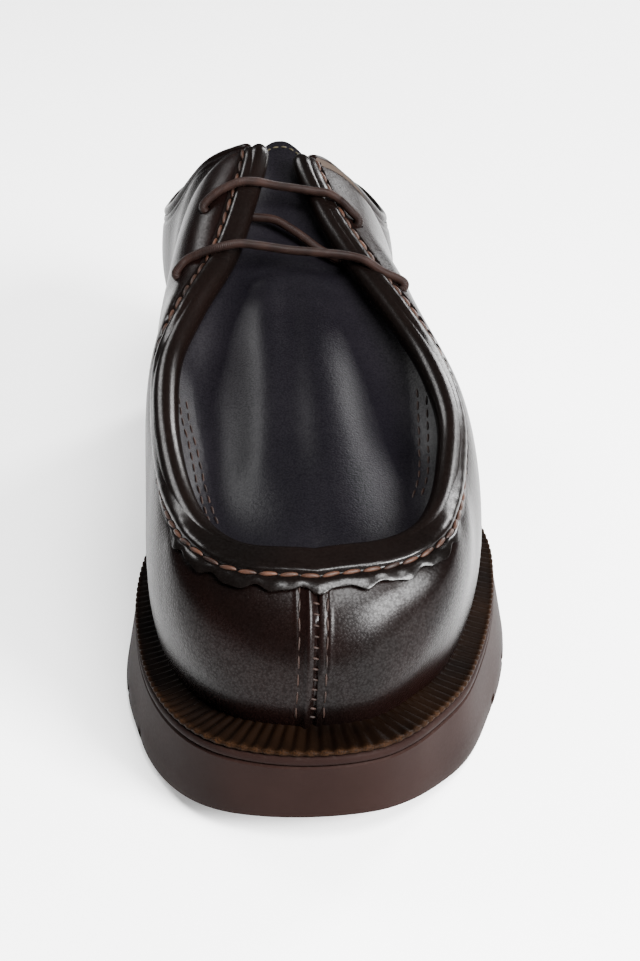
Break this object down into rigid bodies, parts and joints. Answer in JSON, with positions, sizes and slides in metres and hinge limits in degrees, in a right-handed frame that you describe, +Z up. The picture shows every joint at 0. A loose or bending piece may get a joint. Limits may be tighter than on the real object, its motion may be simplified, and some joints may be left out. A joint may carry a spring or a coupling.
{
  "type": "apron toe derby",
  "caption": "Lace-up derby shoe with an apron toe edged by a thick rolled seam, open throat lacing, a ribbed welt and a chunky lugged rubber sole.",
  "frame": {"origin": "middle of the shoe's footprint, on the floor", "axes": "+Z up, -Y towards the toe, +Y towards the heel, +X towards the outer side of this left shoe"},
  "size_m": [0.1178, 0.3008, 0.1317],
  "materials": {
    "sole_rubber": "matt dark brown moulded rubber",
    "midsole_rubber": "matt dark brown rubber band",
    "ribbed_welt": "dark olive brown, ribbed across its edge",
    "box_leather": "polished near-black brown box leather",
    "plug_leather": "smooth charcoal leather with a soft sheen",
    "lining_leather": "matt brown lining leather",
    "waxed_lace": "round waxed brown lace"
  },
  "bodies": {
    "root": {"outsole": "sole_rubber", "midsole": "midsole_rubber", "welt": "ribbed_welt", "insole": "lining_leather", "upper": "box_leather", "apron_tongue": "plug_leather", "apron_roll": "box_leather", "roll_flange": "box_leather", "collar_binding": "box_leather", "lace_bar_upper": "waxed_lace", "lace_bar_lower": "waxed_lace", "lace_cross": "waxed_lace"}
  },
  "joints": []
}
